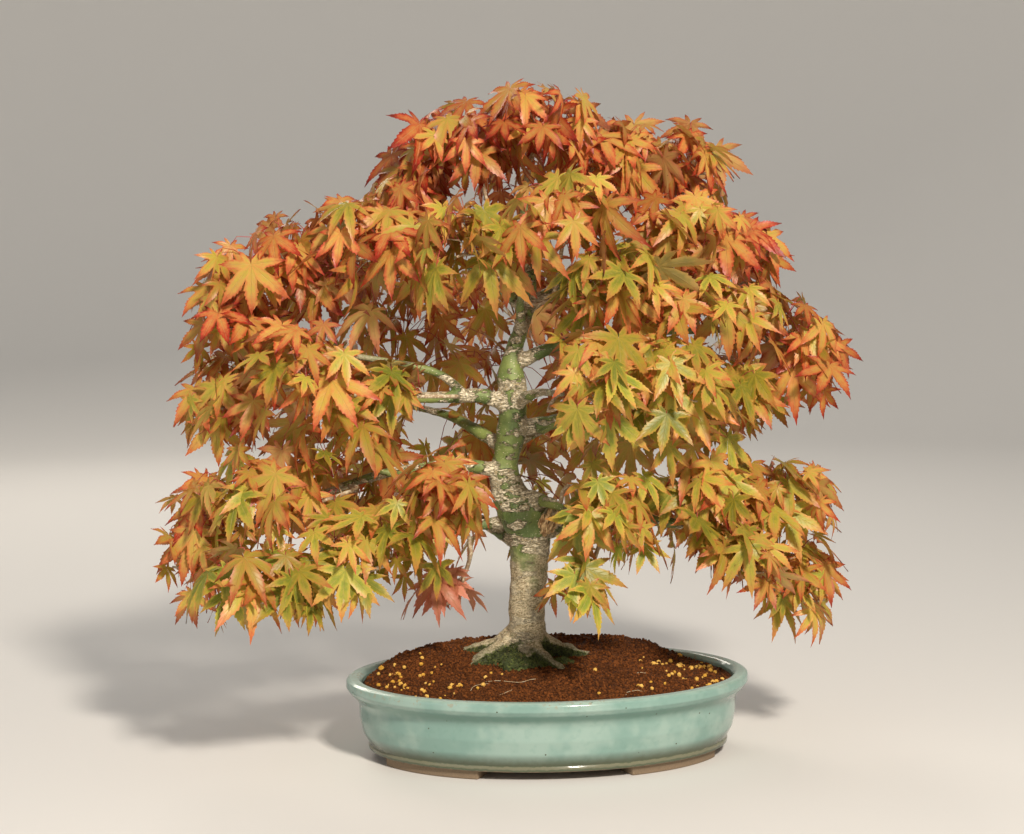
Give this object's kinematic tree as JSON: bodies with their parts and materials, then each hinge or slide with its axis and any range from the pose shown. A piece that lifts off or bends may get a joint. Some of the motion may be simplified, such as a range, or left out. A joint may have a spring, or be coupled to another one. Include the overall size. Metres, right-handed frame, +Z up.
{
  "type": "japanese maple bonsai",
  "caption": "Broad-crowned Japanese maple bonsai in orange and gold autumn leaf, on a leaning scarred trunk, in a shallow oval glazed pot.",
  "frame": {"origin": "centre of the overall box at the height of the feet's undersides", "axes": "+X along the pot's long side, to the viewer's right; +Y from the front to the back; +Z up"},
  "size_m": [0.7144, 0.4416, 0.6488],
  "materials": {
    "celadon_glaze": "glossy pale green glaze, pooled darker at the foot line, bare brown clay on the feet",
    "screen_plastic": "matt black",
    "soil": "fine fired clay grains, matt",
    "bark": "smooth green bark with cork patches and scars",
    "leaves_orange": "thin satin leaf, orange with red edges",
    "leaves_amber": "thin satin leaf, amber with orange edges",
    "leaves_gold": "thin satin leaf, yellow-green with orange tips",
    "leaves_rose": "thin satin leaf, salmon red"
  },
  "bodies": {
    "root": {"pot": "celadon_glaze", "drainage_screen_left": "screen_plastic", "drainage_screen_right": "screen_plastic", "soil": "soil", "trunk": "bark", "spray_apex_left": "leaves_orange", "spray_apex_centre": "leaves_orange", "spray_apex_right": "leaves_orange", "spray_shoulder_left": "leaves_orange", "spray_shoulder_right": "leaves_orange", "spray_upper_left_inner": "leaves_amber", "spray_upper_left": "leaves_orange", "spray_upper_left_tip": "leaves_orange", "spray_mid_left_tip": "leaves_amber", "spray_mid_left": "leaves_amber", "spray_mid_left_inner": "leaves_gold", "spray_low_left_tip": "leaves_orange", "spray_low_left_top": "leaves_amber", "spray_low_left_front": "leaves_gold", "spray_low_left_inner": "leaves_gold", "spray_low_left_near": "leaves_orange", "spray_low_inner": "leaves_rose", "spray_front_left": "leaves_gold", "spray_front_centre": "leaves_amber", "spray_front_right": "leaves_gold", "spray_upper_right": "leaves_amber", "spray_upper_right_tip": "leaves_orange", "spray_mid_right_upper": "leaves_gold", "spray_mid_front": "leaves_gold", "spray_mid_right": "leaves_gold", "spray_mid_right_outer": "leaves_gold", "spray_far_right": "leaves_orange", "spray_far_right_tip": "leaves_orange", "spray_low_right_inner": "leaves_gold", "spray_low_front": "leaves_gold", "spray_low_right": "leaves_amber", "spray_low_right_outer": "leaves_amber", "spray_low_right_tip": "leaves_orange", "spray_low_right_front": "leaves_amber", "spray_back_top": "leaves_orange", "spray_back_upper_left": "leaves_orange", "spray_back_upper_right": "leaves_orange", "spray_back_mid": "leaves_orange", "spray_back_mid_left": "leaves_amber", "spray_back_mid_right": "leaves_amber", "spray_back_low_left": "leaves_amber", "spray_back_low": "leaves_gold", "spray_back_low_right": "leaves_amber"}
  },
  "joints": []
}
